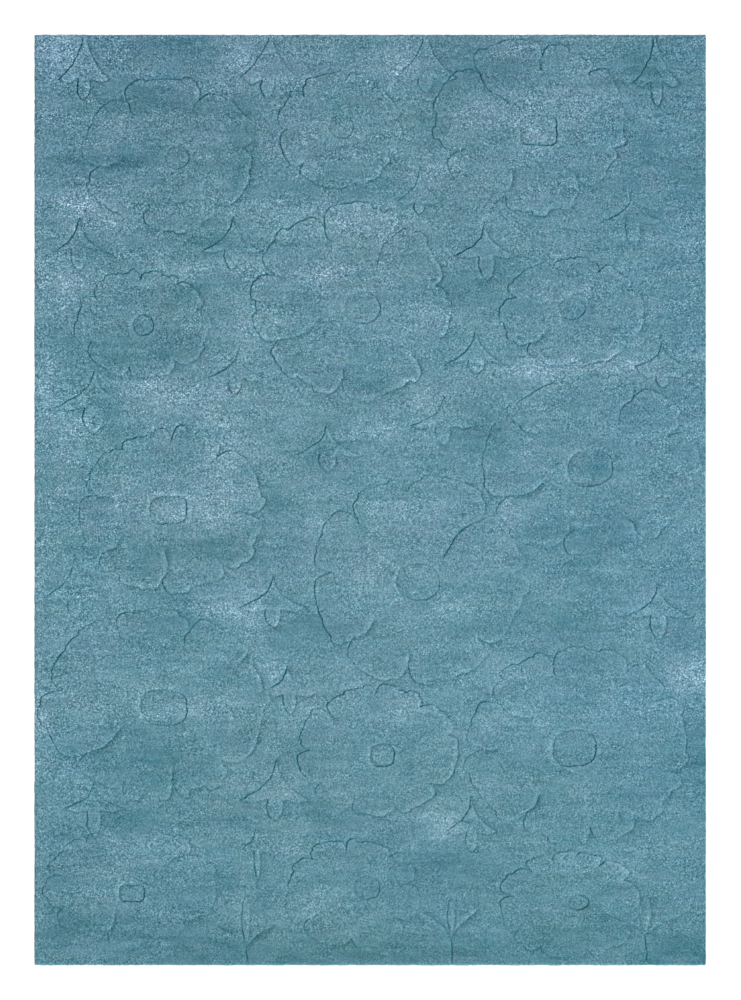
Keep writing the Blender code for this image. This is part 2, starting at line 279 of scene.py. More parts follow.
# eye: the centre ring; notches: angles in degrees from +X, each with its depth as a share of the radius
Flower = namedtuple("Flower", "x y rx ry eye_x eye_y eye_rx eye_ry eye_power notches")
FLOWERS = (
    Flower(-0.461, 0.786, 0.196, 0.173, -0.440, 0.779, 0.028, 0.027, 2.0,
           ((5, 0.14), (60, 0.34), (128, 0.36), (189, 0.34), (247, 0.34), (315, 0.22))),
    Flower(-0.067, 0.843, 0.141, 0.137, -0.067, 0.850, 0.027, 0.028, 2.0,
           ((11, 0.10), (52, 0.12), (84, 0.17), (137, 0.20), (180, 0.12), (222, 0.18),
            (279, 0.12), (333, 0.20))),
    Flower(0.364, 0.854, 0.221, 0.198, 0.383, 0.841, 0.042, 0.034, 5.0,
           ((15, 0.12), (41, 0.16), (80, 0.30), (134, 0.62), (200, 0.24), (250, 0.40),
            (310, 0.36), (345, 0.12))),
    Flower(-0.518, 0.399, 0.157, 0.125, -0.516, 0.399, 0.024, 0.024, 2.0,
           ((16, 0.12), (50, 0.12), (93, 0.20), (150, 0.14), (200, 0.12), (252, 0.22),
            (311, 0.22))),
    Flower(-0.041, 0.449, 0.228, 0.223, -0.019, 0.437, 0.042, 0.036, 2.0,
           ((12, 0.12), (58, 0.50), (110, 0.30), (160, 0.26), (207, 0.60), (262, 0.28),
            (319, 0.30))),
    Flower(0.458, 0.428, 0.162, 0.128, 0.460, 0.437, 0.031, 0.024, 2.0,
           ((22, 0.14), (56, 0.16), (113, 0.16), (165, 0.22), (217, 0.50), (270, 0.10),
            (335, 0.40))),
    Flower(-0.456, -0.025, 0.214, 0.192, -0.459, -0.023, 0.041, 0.031, 4.0,
           ((358, 0.30), (49, 0.26), (89, 0.18), (128, 0.08), (168, 0.26), (212, 0.30),
            (264, 0.50), (314, 0.30))),
    Flower(0.109, -0.183, 0.251, 0.233, 0.107, -0.187, 0.048, 0.041, 2.4,
           ((5, 0.12), (44, 0.62), (98, 0.10), (135, 0.28), (175, 0.16), (222, 0.42),
            (263, 0.24), (316, 0.22))),
    Flower(0.501, 0.077, 0.246, 0.210, 0.501, 0.073, 0.051, 0.042, 2.4,
           ((22, 0.22), (58, 0.42), (105, 0.10), (150, 0.34), (200, 0.50), (250, 0.32),
            (305, 0.30), (355, 0.10))),
    Flower(-0.488, -0.463, 0.264, 0.217, -0.470, -0.472, 0.052, 0.040, 3.0,
           ((27, 0.12), (65, 0.30), (118, 0.26), (172, 0.22), (215, 0.60), (248, 0.12),
            (282, 0.42), (319, 0.20))),
    Flower(0.016, -0.570, 0.185, 0.150, 0.029, -0.581, 0.027, 0.026, 2.8,
           ((12, 0.10), (45, 0.12), (92, 0.16), (142, 0.26), (180, 0.14), (210, 0.12),
            (245, 0.20), (288, 0.12), (328, 0.22))),
    Flower(0.471, -0.558, 0.258, 0.223, 0.465, -0.565, 0.049, 0.042, 2.8,
           ((30, 0.22), (56, 0.14), (107, 0.24), (152, 0.46), (183, 0.26), (233, 0.36),
            (279, 0.15), (309, 0.14), (345, 0.12))),
    Flower(-0.548, -0.877, 0.205, 0.137, -0.544, -0.896, 0.028, 0.019, 4.0,
           ((28, 0.44), (90, 0.12), (135, 0.12), (172, 0.16), (198, 0.20), (245, 0.46),
            (290, 0.10), (326, 0.20))),
    Flower(-0.041, -0.896, 0.157, 0.125, -0.007, -0.882, 0.030, 0.026, 2.0,
           ((10, 0.24), (45, 0.14), (98, 0.20), (140, 0.14), (178, 0.16), (210, 0.34),
            (268, 0.20), (330, 0.16))),
    Flower(0.456, -0.921, 0.164, 0.123, 0.474, -0.916, 0.023, 0.018, 2.0,
           ((25, 0.14), (54, 0.16), (82, 0.10), (112, 0.14), (140, 0.14), (172, 0.18),
            (206, 0.14), (234, 0.12), (290, 0.16), (338, 0.12))),
)

# x, y: where the leaf tips' level crosses the middle; droop: the tips above that level
Bud = namedtuple("Bud", "x y half_width height drop droop")
BUDS = (
    Bud(-0.652, 0.952, 0.059, 0.146, 0.041, 0.005),
    Bud(-0.233, 0.948, 0.066, 0.150, 0.034, 0.014),
    Bud(0.125, 0.952, 0.071, 0.146, 0.023, 0.009),
    Bud(0.652, 0.943, 0.055, 0.146, 0.046, 0.005),
    Bud(-0.664, 0.569, 0.080, 0.075, 0.046, -0.014),
    Bud(-0.315, 0.565, 0.073, 0.082, 0.041, 0.002),
    Bud(0.111, 0.672, 0.050, 0.089, 0.021, 0.011),
    Bud(0.264, 0.551, 0.073, 0.082, 0.052, 0.005),
    Bud(0.597, 0.629, 0.075, 0.066, 0.050, 0.005),
    Bud(-0.630, 0.205, 0.105, 0.100, 0.055, 0.000),
    Bud(-0.308, 0.271, 0.064, 0.071, 0.030, 0.007),
    Bud(-0.098, 0.100, 0.084, 0.078, 0.036, 0.000),
    Bud(0.166, 0.164, 0.075, 0.073, 0.041, 0.005),
    Bud(0.241, 0.314, 0.078, 0.082, 0.027, -0.009),
    Bud(0.665, 0.278, 0.062, 0.080, 0.023, 0.027),
    Bud(-0.673, -0.228, 0.073, 0.103, 0.041, 0.005),
    Bud(-0.222, -0.255, 0.078, 0.084, 0.036, 0.009),
    Bud(0.656, -0.267, 0.082, 0.078, 0.052, 0.000),
    Bud(-0.185, -0.447, 0.066, 0.071, 0.041, 0.009),
    Bud(-0.217, -0.688, 0.080, 0.105, 0.041, 0.005),
    Bud(-0.630, -0.711, 0.068, 0.066, 0.059, 0.009),
    Bud(0.230, -0.761, 0.059, 0.089, 0.041, 0.007),
    Bud(-0.258, -0.802, 0.032, 0.068, 0.064, 0.009),
)

# x, y: where the leaves leave the stem
Sprout = namedtuple("Sprout", "x y half_width petal_height leaf_rise stem")
SPROUTS = (
    Sprout(-0.283, -1.007, 0.059, 0.105, 0.046, 0.050),
    Sprout(0.184, -0.985, 0.052, 0.078, 0.055, 0.078),
    Sprout(0.626, -0.980, 0.082, 0.082, 0.046, 0.078),
)

# Places where the nap lies light or dark, painted as sheen and shade: x, y, half width, half height, and how
# much lighter
NAP_SHEEN_PLACES = (
    (-0.71, 1.03, 0.035, 0.045, 11), (-0.65, 0.67, 0.045, 0.035, 10), (-0.66, 0.49, 0.040, 0.030, 11),
    (-0.75, 0.51, 0.020, 0.045, 7), (-0.48, 0.25, 0.115, 0.028, 10), (-0.33, 0.19, 0.050, 0.055, 7),
    (-0.29, 1.01, 0.035, 0.035, 8), (-0.24, 0.65, 0.070, 0.028, 6), (-0.39, 0.53, 0.055, 0.028, 7),
    (-0.26, 0.53, 0.045, 0.022, 7), (-0.05, 0.64, 0.070, 0.028, 10), (0.08, 0.63, 0.035, 0.022, 7),
    (-0.09, 0.52, 0.070, 0.022, 9), (0.05, 1.00, 0.035, 0.045, 6), (0.39, 0.90, 0.140, 0.040, 7),
    (0.23, 0.87, 0.055, 0.028, 5), (0.31, 1.04, 0.045, 0.022, 6), (0.14, 0.76, 0.055, 0.028, 6),
    (0.13, 0.41, 0.070, 0.028, 7), (-0.27, 0.38, 0.055, 0.055, 5), (0.44, 0.300, 0.110, 0.018, 11),
    (0.56, 0.31, 0.035, 0.022, 9), (0.73, 0.33, 0.045, 0.018, 6), (0.11, 0.23, 0.035, 0.028, 9),
    (0.02, 0.16, 0.070, 0.022, 9), (0.36, 0.10, 0.022, 0.022, 6), (-0.68, 0.16, 0.045, 0.055, 6),
    (-0.73, 0.24, 0.022, 0.070, 7), (-0.39, -0.02, 0.070, 0.045, 7), (-0.57, -0.03, 0.028, 0.055, 6),
    (-0.33, 0.05, 0.045, 0.070, 7), (-0.11, -0.05, 0.045, 0.022, 6), (0.06, -0.03, 0.070, 0.035, 5),
    (0.31, -0.05, 0.028, 0.055, 5), (0.75, -0.02, 0.022, 0.028, 6), (-0.30, -0.26, 0.050, 0.040, 10),
    (-0.39, -0.23, 0.035, 0.028, 6), (0.00, -0.17, 0.055, 0.055, 6), (0.18, -0.25, 0.045, 0.026, 11),
    (0.30, -0.38, 0.045, 0.035, 6), (-0.23, -0.38, 0.035, 0.022, 6), (0.75, -0.41, 0.045, 0.040, 13),
    (-0.76, -0.50, 0.022, 0.045, 9), (-0.75, -0.19, 0.018, 0.028, 6), (-0.62, -0.47, 0.100, 0.028, 6),
    (-0.35, -0.47, 0.070, 0.028, 6), (-0.16, -0.48, 0.055, 0.028, 6), (0.06, -0.48, 0.090, 0.028, 6),
    (0.30, -0.48, 0.045, 0.020, 8), (0.38, -0.48, 0.035, 0.022, 8), (-0.65, -0.63, 0.022, 0.022, 5),
    (0.61, -0.46, 0.110, 0.055, 4), (0.16, -0.74, 0.045, 0.035, 9), (0.52, -0.82, 0.110, 0.035, 5),
    (-0.50, -0.80, 0.090, 0.035, 5), (-0.18, -0.79, 0.035, 0.028, 5), (-0.14, -0.93, 0.090, 0.045, 5),
    (-0.43, 1.03, 0.080, 0.035, -9), (-0.55, 0.92, 0.125, 0.028, -9), (-0.59, 0.77, 0.160, 0.028, -9),
    (-0.29, 0.77, 0.028, 0.055, -7), (-0.32, 0.87, 0.090, 0.035, -7), (0.24, 0.98, 0.070, 0.080, -9),
    (0.63, 0.97, 0.055, 0.050, -9), (0.73, 0.76, 0.045, 0.045, -7), (0.14, 0.85, 0.035, 0.045, -6),
    (0.61, 0.80, 0.035, 0.055, -6), (-0.09, 0.71, 0.180, 0.020, -5), (-0.34, 0.59, 0.070, 0.035, -7),
    (-0.64, 0.58, 0.055, 0.028, -6), (0.60, 0.65, 0.055, 0.028, -6), (0.26, 0.49, 0.070, 0.055, -7),
    (-0.41, 0.48, 0.080, 0.035, -7), (-0.52, 0.34, 0.130, 0.065, -6), (-0.62, 0.23, 0.045, 0.035, -6),
    (0.00, 0.26, 0.055, 0.022, -6), (-0.10, 0.12, 0.035, 0.055, -7), (0.27, 0.14, 0.045, 0.045, -7),
    (0.52, 0.08, 0.035, 0.035, -6), (-0.23, 0.00, 0.045, 0.035, -6), (-0.41, -0.11, 0.180, 0.035, -7),
    (0.49, -0.09, 0.100, 0.045, -6), (-0.14, -0.30, 0.090, 0.035, -6), (-0.43, -0.27, 0.055, 0.045, -6),
    (0.44, -0.30, 0.090, 0.065, -4), (-0.50, -0.59, 0.110, 0.055, -6), (-0.16, -0.56, 0.045, 0.045, -6),
    (-0.09, -0.71, 0.090, 0.028, -6), (-0.57, -0.74, 0.130, 0.028, -6), (0.75, -0.59, 0.035, 0.065, -7),
    (-0.34, -0.87, 0.045, 0.035, -6), (-0.24, -0.92, 0.018, 0.055, -7), (0.16, -0.84, 0.130, 0.045, -6),
    (-0.68, -0.98, 0.090, 0.035, -7), (-0.37, -1.03, 0.130, 0.035, -9), (-0.09, -1.03, 0.130, 0.028, -7),
    (0.30, -1.02, 0.250, 0.025, -6), (0.73, -1.03, 0.080, 0.030, -6), (0.38, 0.84, 0.030, 0.022, 9),
    (-0.46, -0.02, 0.030, 0.020, 6), (-0.47, -0.48, 0.035, 0.022, 5),
)


def uneven(x, y):
    """A share from -1 to 1 that varies smoothly over the rug, so that no two petals match."""
    return 0.6 * math.sin(31.0 * x + 17.0 * y) + 0.4 * math.sin(23.0 * y - 41.0 * x + 1.3)


def chance(*numbers):
    """A number from 0 to 1 that looks random but is always the same for these numbers."""
    raw = math.sin(sum(number * factor for number, factor in zip(numbers, (127.1, 311.7, 74.7)))) * 43758.5453
    return raw - math.floor(raw)


def noise(x, y, seed):
    """Soft noise from -1 to 1, with one change a unit."""
    column, row = np.floor(x), np.floor(y)
    right, up = x - column, y - row
    right = right * right * (3 - 2 * right)
    up = up * up * (3 - 2 * up)

    def corner(i, j):
        raw = np.sin((column + i) * 127.1 + (row + j) * 311.7 + seed * 74.7) * 43758.5453
        return 2 * (raw - np.floor(raw)) - 1

    low = corner(0, 0) * (1 - right) + corner(1, 0) * right
    high = corner(0, 1) * (1 - right) + corner(1, 1) * right
    return low * (1 - up) + high * up


def wave(x, y, size, seed):
    """Noise of a given height and length."""
    height, length = size
    return height * noise(x / length, y / length, seed)


def shift(x, y, size, seed):
    """A step for each point, both ways, of a given size and over a given length."""
    return np.column_stack([wave(x, y, size, seed), wave(x, y, size, seed + 1)])


# Carved curves


def ellipse_radius(rx, ry, angle, power=2.0):
    """From an oval's centre to its edge at an angle; it is squarer with a higher power."""
    across = abs(math.cos(angle) / rx) ** power
    along = abs(math.sin(angle) / ry) ** power
    return (across + along) ** (-1.0 / power)


def petal_outline(flower):
    """Points of one flower's edge: a petal between each two notches, in stretches with jogs between them."""
    points = []
    notches = sorted(flower.notches)
    for index, (start, start_depth) in enumerate(notches):
        end, end_depth = notches[(index + 1) % len(notches)]
        span = (end - start) % 360
        stretches = max(2, round(span / STRETCH_SPAN))
        jogs = [(k + 0.5 * chance(flower.x, start, k) - 0.25) / stretches for k in range(1, stretches)]
        levels = [JOG_DEPTH * (chance(flower.y, start, k) - 0.75) for k in range(stretches)]
        middle = math.radians(start + span / 2)
        swell = PETAL_SWELL * uneven(flower.x + math.cos(middle), flower.y + math.sin(middle))
        steps = max(PETAL_STEPS, round(2 * span))
        for step in range(steps):
            share = step / steps
            depth = start_depth if share < 0.5 else end_depth
            depth = min(depth, OUTLINE_NOTCH)
            dip = depth * abs(2 * share - 1) ** PETAL_SQUARENESS
            rise = levels[0]
            for jog, low, high in zip(jogs, levels, levels[1:]):
                rise += (high - low) * min(max((share - jog) * span / JOG_SPAN + 0.5, 0.0), 1.0)
            within = np.interp(share, [0.0, *jogs, 1.0], range(stretches + 1)) % 1.0
            rise += STRETCH_BULGE * math.sin(math.pi * within)
            angle = math.radians(start + span * share)
            radius = ellipse_radius(flower.rx, flower.ry, angle)
            radius *= 1.0 + swell * math.sin(math.pi * share) - dip + rise
            points.append((flower.x + radius * math.cos(angle), flower.y + radius * math.sin(angle)))
    return points


def notch_lines(flower):
    """The lines that run on inwards from a flower's deeper notches."""
    lines = []
    for degrees, depth in flower.notches:
        if depth <= LINE_NOTCH:
            continue
        line = []
        for step in range(NOTCH_STEPS + 1):
            share = step / NOTCH_STEPS
            inward = 1.0 - LINE_START - OUTLINE_NOTCH - (depth - OUTLINE_NOTCH) * share
            bend = NOTCH_BEND * (depth - OUTLINE_NOTCH) * math.sin(math.pi * share)
            angle = math.radians(degrees + bend)
            radius = inward * ellipse_radius(flower.rx, flower.ry, angle)
            line.append((flower.x + radius * math.cos(angle), flower.y + radius * math.sin(angle)))
        lines.append(line)
    return lines


def eye_ring(flower):
    """The ring at a flower's centre, squarer where its power is above 2."""
    points = []
    for step in range(RING_STEPS):
        angle = 2 * math.pi * step / RING_STEPS
        radius = ellipse_radius(flower.eye_rx, flower.eye_ry, angle, flower.eye_power)
        radius *= 1 + RING_UNEVEN * uneven(flower.x + math.cos(angle) / 20, flower.y + math.sin(angle) / 20)
        points.append((flower.eye_x + radius * math.cos(angle), flower.eye_y + radius * math.sin(angle)))
    return points


def bud_outline(bud):
    """Apex, two leaves that sweep down and out to their tips, and a drop-shaped tongue below."""
    right = []
    for step in range(LEAF_STEPS + 1):
        share = step / LEAF_STEPS
        x = bud.half_width * (LEAF_STRAIGHT * share + LEAF_CURVED * share ** LEAF_POWER)
        y = bud.height * (1 - share) + bud.droop * share
        right.append((x, y))
    right.extend((x * bud.half_width, y * bud.height) for x, y in LEAF_UNDERSIDE)
    tongue = TONGUE_WIDTH * bud.half_width
    right.append((TONGUE_TOP[0] * tongue, TONGUE_TOP[1] * bud.height))
    right.extend((x * tongue, y * bud.drop) for x, y in TONGUE_SIDE)
    bottom = [(0.0, -bud.drop)]
    left = [(-x, y) for x, y in reversed(right[1:])]
    lean = BUD_LEAN * uneven(bud.x, bud.y)
    return [(bud.x + x + lean * y, bud.y + y) for x, y in right + bottom + left]


def sprout_lines(sprout):
    """A closed upright petal, two rising leaves and a stem that runs off the rug's edge."""
    width, height = SPROUT_PETAL
    petal = []
    for step in range(SPROUT_STEPS):
        turn = 2 * math.pi * step / SPROUT_STEPS
        x = width * sprout.half_width * math.sin(turn)
        y = height * sprout.petal_height * (1 - math.cos(turn))
        petal.append((sprout.x + x, sprout.y + y))
    lines = []
    for side in (-1, 1):
        leaf = []
        for step in range(SPROUT_LEAF_STEPS + 1):
            share = step / SPROUT_LEAF_STEPS
            x = side * sprout.half_width * share
            y = sprout.leaf_rise * share ** LEAF_CURL - SPROUT_FOOT * sprout.leaf_rise
            leaf.append((sprout.x + x, sprout.y + y))
        lines.append(leaf)
    foot = -SPROUT_FOOT * sprout.leaf_rise
    lines.append([(sprout.x, sprout.y + foot), (sprout.x + STEM_LEAN, sprout.y - sprout.stem)])
    return petal, lines


# strength: each point's depth, as a share of GROOVE_DEPTH
Curve = namedtuple("Curve", "points closed slope strength")


def evenly(points, closed, step):
    """The same line with points a step apart."""
    points = np.array(points, float)
    if closed:
        points = np.concatenate([points, points[:1]])
    lengths = np.linalg.norm(np.diff(points, axis=0), axis=1)
    reached = np.concatenate([[0.0], np.cumsum(lengths)])
    count = max(3, round(reached[-1] / step))
    wanted = np.linspace(0.0, reached[-1], count + 1)
    spaced = np.column_stack([np.interp(wanted, reached, points[:, axis]) for axis in (0, 1)])
    return spaced[:-1] if closed else spaced


def carved_curve(points, closed, cut, number):
    """One carved line with the small wander of a hand-held blade, deeper and fainter by turns."""
    points = evenly(points, closed, CURVE_STEP)
    x, y = points.T
    points = points + shift(x, y, WANDER, 3) + shift(x, y, QUIVER, 5)
    turns = noise(x / LONG_TURN, y / LONG_TURN, 20 + number)
    turns = turns + wave(x, y, (SHORT_TURN_SHARE, SHORT_TURN), 160 + number)
    strength = cut.depth * np.clip(MEAN_CUT + cut.unsteady * turns, FAINTEST, FULLEST)
    curve = Curve(points, closed, cut.slope, strength)
    if closed:
        outward = sideways_of(curve) * outside_sign(curve) * cut.slope
        strength *= 1 - cut.lean * (0.5 + 0.5 * outward @ np.array(TOWARDS_LIGHT))
    return curve


def carved_curves():
    """Every carved line of the rug. Its number seeds its depth, so the order counts."""
    found = []
    for flower, depth in zip(FLOWERS, FLOWER_DEPTHS):
        ring_depth = RING_CUT.depth + SQUARE_RING_DEEPER * (flower.eye_power - 2.0)
        found.append((petal_outline(flower), True, PETAL_CUT._replace(depth=depth)))
        found.append((eye_ring(flower), True, RING_CUT._replace(depth=ring_depth)))
        found.extend((line, False, NOTCH_CUT) for line in notch_lines(flower))
    for bud in BUDS:
        found.append((bud_outline(bud), True, BUD_CUT._replace(depth=BUD_CUT.depth + TOP_BUDS_DEEPER * bud.y)))
    for sprout in SPROUTS:
        petal, lines = sprout_lines(sprout)
        found.append((petal, True, SPROUT_CUT))
        found.extend((line, False, LEAF_CUT) for line in lines)
    return [carved_curve(*curve, number) for number, curve in enumerate(found)]


def sideways_of(curve):
    """Each point's unit step to the right of the way the curve runs."""
    ahead = np.roll(curve.points, -1, axis=0) - curve.points
    if not curve.closed:
        ahead[-1] = ahead[-2]
    behind = np.roll(ahead, 1, axis=0)
    if not curve.closed:
        behind[0] = ahead[0]
    mean = ahead + behind
    mean /= np.maximum(np.linalg.norm(mean, axis=1, keepdims=True), 1e-9)
    return np.column_stack([mean[:, 1], -mean[:, 0]])


def outside_sign(curve):
    """1 where right of the curve's way is outside it, else -1."""
    x, y = curve.points.T
    area = (x * np.roll(y, -1) - np.roll(x, -1) * y).sum()
    return 1.0 if area > 0 else -1.0


def nearest_on(points, curve, at_once=2000):
    """For each point, the nearest place on the curve.

    Gives the distance, signed towards the curve's outside, the strength there, and how far the curve's
    outside there faces the side light.
    """
    start = curve.points
    end = np.roll(start, -1, axis=0)
    strong = curve.strength
    strong_end = np.roll(strong, -1)
    if not curve.closed:
        start, end, strong, strong_end = start[:-1], end[:-1], strong[:-1], strong_end[:-1]
    along = end - start
    length = np.maximum((along ** 2).sum(axis=1), 1e-12)
    faces_light = (along[:, 1] * TOWARDS_LIGHT[0] - along[:, 0] * TOWARDS_LIGHT[1]) / np.sqrt(length)
    signed, strength, facing = np.empty((3, len(points)))
    for first in range(0, len(points), at_once):
        these = slice(first, first + at_once)
        some = points[these]
        gap = some[:, None, :] - start[None, :, :]
        share = np.clip((gap * along).sum(axis=2) / length, 0.0, 1.0)
        off = gap - share[:, :, None] * along
        distance = (off ** 2).sum(axis=2)
        best = distance.argmin(axis=1)
        rows = np.arange(len(some))
        chosen = share[rows, best]
        cross = along[best, 1] * off[rows, best, 0] - along[best, 0] * off[rows, best, 1]
        signed[these] = np.sqrt(distance[rows, best]) * np.where(cross >= 0, 1.0, -1.0)
        strength[these] = strong[best] * (1 - chosen) + strong_end[best] * chosen
        facing[these] = faces_light[best]
    if curve.closed:
        signed *= outside_sign(curve)
        facing *= outside_sign(curve)
    return signed, strength, facing


def groove_share(signed, slope):
    """How much of the full depth the groove has at a distance from its middle line."""
    sloped = np.clip(1 - (np.abs(signed) - BOTTOM) / SLOPED_SIDE, 0.0, 1.0)
    steep = np.clip(1 - (np.abs(signed) - BOTTOM) / STEEP_SIDE, 0.0, 1.0)
    sloped = sloped ** SLOPE_POWER
    steep = steep * steep * (3 - 2 * steep)
    if slope == 0:
        return 0.5 * (sloped + steep)
    return np.where(signed * slope > 0, sloped, steep)


def near(points, curve, reach):
    """The numbers of the points in the curve's box and a reach round it."""
    low = curve.points.min(axis=0) - reach
    high = curve.points.max(axis=0) + reach
    return np.flatnonzero(((points > low) & (points < high)).all(axis=1))


def carving(points, curves):
    """What the blade has done at each point, in four rows of shares.

    They are the groove's depth, the same weighed by how far the steep side turns away from the light, how
    much the pile beside the groove is brushed up, and the same where it is lit.
    """
    found = np.zeros((4, len(points)))
    for curve in curves:
        close = near(points, curve, CARVED_REACH)
        if len(close):
            signed, strength, facing = nearest_on(points[close], curve)
            share = strength * groove_share(signed, curve.slope)
            shaded = share * (0.5 - 0.5 * facing * curve.slope)
            beside = strength * np.exp(-((signed * (curve.slope or 1) + CREST_PLACE) / CREST_WIDTH) ** 2)
            lit = beside * np.clip(facing * curve.slope, 0.0, 1.0)
            found[:, close] = np.maximum(found[:, close], [share, shaded, beside, lit])
    return found


# The rug's mesh


def border(inset, step):
    """Points round the rug's edge, moved in by inset, a step apart, from the lower right corner up."""
    half_x, half_y = HALF_SIDES - inset
    radius = max(CORNER_RADIUS - inset, TIGHTEST_RADIUS)
    points = []
    for quarter, (side_x, side_y) in enumerate(((1, 1), (-1, 1), (-1, -1), (1, -1))):
        for turn in range(3):
            angle = math.pi / 2 * (quarter + turn / 2)
            x = side_x * (half_x - radius) + radius * math.cos(angle)
            y = side_y * (half_y - radius) + radius * math.sin(angle)
            points.append((x, y))
        runs_across = quarter % 2 == 0
        start = np.array(points[-1])
        end = start * ((-1, 1) if runs_across else (1, -1))
        count = round((WIDTH if runs_across else LENGTH) / step)
        for number in range(1, count):
            points.append(tuple(start + (end - start) * number / count))
    return np.array(points)


def carved_points(curves):
    """Rows of points along each groove, no two of them in one place."""
    rows = []
    for curve in curves:
        sideways = sideways_of(curve)
        if curve.closed:
            sideways = sideways * outside_sign(curve)
        for offset in GROOVE_LINES:
            if curve.slope == 0 and offset > EVEN_GROOVE_REACH:
                continue
            moved = curve.points + (offset * (curve.slope or 1)) * sideways
            if offset:
                signed = nearest_on(moved, curve)[0]
                moved = moved[np.abs(signed) > 0.85 * abs(offset)]
            rows.append(moved)
    points = np.concatenate(rows)
    _, first = np.unique(np.round(points / NEAREST_CARVED).astype(int), axis=0, return_index=True)
    return points[np.sort(first)]


def plain_points(curves):
    """Points wide apart where nothing is carved, in rows that are shifted a little at random."""
    across = np.arange(-WIDTH / 2, WIDTH / 2, PLAIN_STEP)
    along = np.arange(-LENGTH / 2, LENGTH / 2, PLAIN_STEP * 0.866)
    x, y = np.meshgrid(across, along)
    x[1::2] += PLAIN_STEP / 2
    plain = np.column_stack([x.ravel(), y.ravel()])
    plain += shift(*plain.T, PLAIN_JITTER, 8)
    free = np.full(len(plain), True)
    for curve in curves:
        close = near(plain, curve, NEAREST_PLAIN)
        if len(close):
            signed = nearest_on(plain[close], curve)[0]
            free[close[np.abs(signed) < NEAREST_PLAIN]] = False
    return plain[free]


def top_points(curves):
    """The points of the pile's top inside its rim, seen from above."""
    points = np.concatenate([carved_points(curves), plain_points(curves)])
    edge = (HALF_SIDES - np.abs(points)).min(axis=1)
    return points[edge > TOP_INSET + NEAREST_RIM]


def pile_height(points, carved):
    """The height of the pile's top, with its waves, crests and grooves."""
    share, _, crest, _ = carved
    waves = wave(*points.T, LONG_WAVE, 11) + wave(*points.T, SHORT_WAVE, 12)
    return THICKNESS - TOP_BELOW + waves + CREST_RISE * crest * (1 - share) - GROOVE_DEPTH * share


def triangulated(points):
    """The points as the triangulation keeps them, and its triangles."""
    found = delaunay_2d_cdt([Vector(point) for point in points.tolist()], [], [], 0, 1e-9)
    return np.array([tuple(point) for point in found[0]]), np.array(found[2])


def facing_up(points, triangles):
    """Twice the area of each triangle, negative where it faces down."""
    one = points[triangles[:, 1]] - points[triangles[:, 0]]
    other = points[triangles[:, 2]] - points[triangles[:, 0]]
    return one[:, 0] * other[:, 1] - one[:, 1] * other[:, 0]


def uneven_line(line, ring):
    """The rim's line with its points moved in and out a little."""
    count = len(line)
    steps = np.arange(count)
    ragged = RIM_UNEVEN * noise(steps / SHORT_UNEVEN_STEPS, np.full(count, ring / SHORT_UNEVEN_ROWS), 15)
    ragged = ragged + LONG_UNEVEN_SHARE * RIM_UNEVEN * noise(steps / LONG_UNEVEN_STEPS, np.zeros(count), 16)
    outward = np.where(np.abs(line) / HALF_SIDES > ON_THE_EDGE, np.sign(line), 0.0)
    return line + outward * ragged[:, None]


def rim_line(ring, curves):
    """One row of corners round the rim, and the carving there."""
    inset, height = RIM[ring]
    line = border(inset, RIM_STEP)
    carved = carving(line, curves)
    if height > BACKING:
        line = uneven_line(line, ring)
    level = np.full(len(line), height)
    if height > LOWEST_DENT:
        level = height - GROOVE_DEPTH * carved[0] * (height / THICKNESS) ** 2
    return np.column_stack([line, level]), carved


def underside(base):
    """The triangles of the flat underside, facing down."""
    triangles = triangulated(base)[1]
    area = facing_up(base, triangles)
    whole = np.abs(area) > 1e-12
    triangles, area = triangles[whole], area[whole]
    return np.where(area[:, None] > 0, triangles[:, ::-1], triangles)


def rug_mesh(curves):
    """The rug's closed mesh, and the carving at each of its corners."""
    loop = border(TOP_INSET, RIM_STEP)
    count = len(loop)
    flat, triangles = triangulated(np.concatenate([loop, top_points(curves)]))
    triangles = np.where(facing_up(flat, triangles)[:, None] > 0, triangles, triangles[:, ::-1])
    carved = carving(flat, curves)
    corners = [np.column_stack([flat, pile_height(flat, carved)])]
    carvings = [carved]
    faces = triangles.tolist()
    above = 0
    for ring in range(len(RIM)):
        line, carved = rim_line(ring, curves)
        below = len(flat) + ring * count
        for step in range(count):
            after = (step + 1) % count
            faces.append([above + step, below + step, below + after, above + after])
        above = below
        corners.append(line)
        carvings.append(carved)
    faces.extend((underside(corners[-1][:, :2]) + above).tolist())
    mesh = bpy.data.meshes.new("rug")
    mesh.from_pydata(np.concatenate(corners).tolist(), [], faces)
    mesh.update()
    return mesh, np.concatenate(carvings, axis=1)


# Tones over the rug, with painted sheen, shade and highlight, in levels of 255


def over_the_rug(x, y):
    """Places as shares of the half sides, from -1 to 1."""
    return x / HALF_SIDES[0], y / HALF_SIDES[1]


def nap_painted_sheen(x, y):
    """The painted sheen and shade of the nap: how much lighter or darker it lies at each point."""
    shift_x = 0.022 * noise(x / 0.07, y / 0.03, 31) + 0.010 * noise(x / 0.025, y / 0.012, 32)
    shift_y = 0.012 * noise(x / 0.05, y / 0.04, 33) + 0.006 * noise(x / 0.02, y / 0.015, 34)
    tone = np.zeros(len(x))
    for place_x, place_y, half_x, half_y, lighter in NAP_SHEEN_PLACES:
        away = ((x + shift_x - place_x) / half_x) ** 2 + ((y + shift_y - place_y) / half_y) ** 2
        tone += lighter * np.exp(-NAP_FALL * away)
    return NAP_STRENGTH * tone


def wide_tone(x, y):
    """The slow change of tone over the whole rug: darker towards both ends."""
    x, y = over_the_rug(x, y)
    return 3.4 + 1.6 * x - 3.2 * y - 2.2 * x * x - 6.4 * y * y - 1.6 * x ** 3 + 2.6 * y ** 3


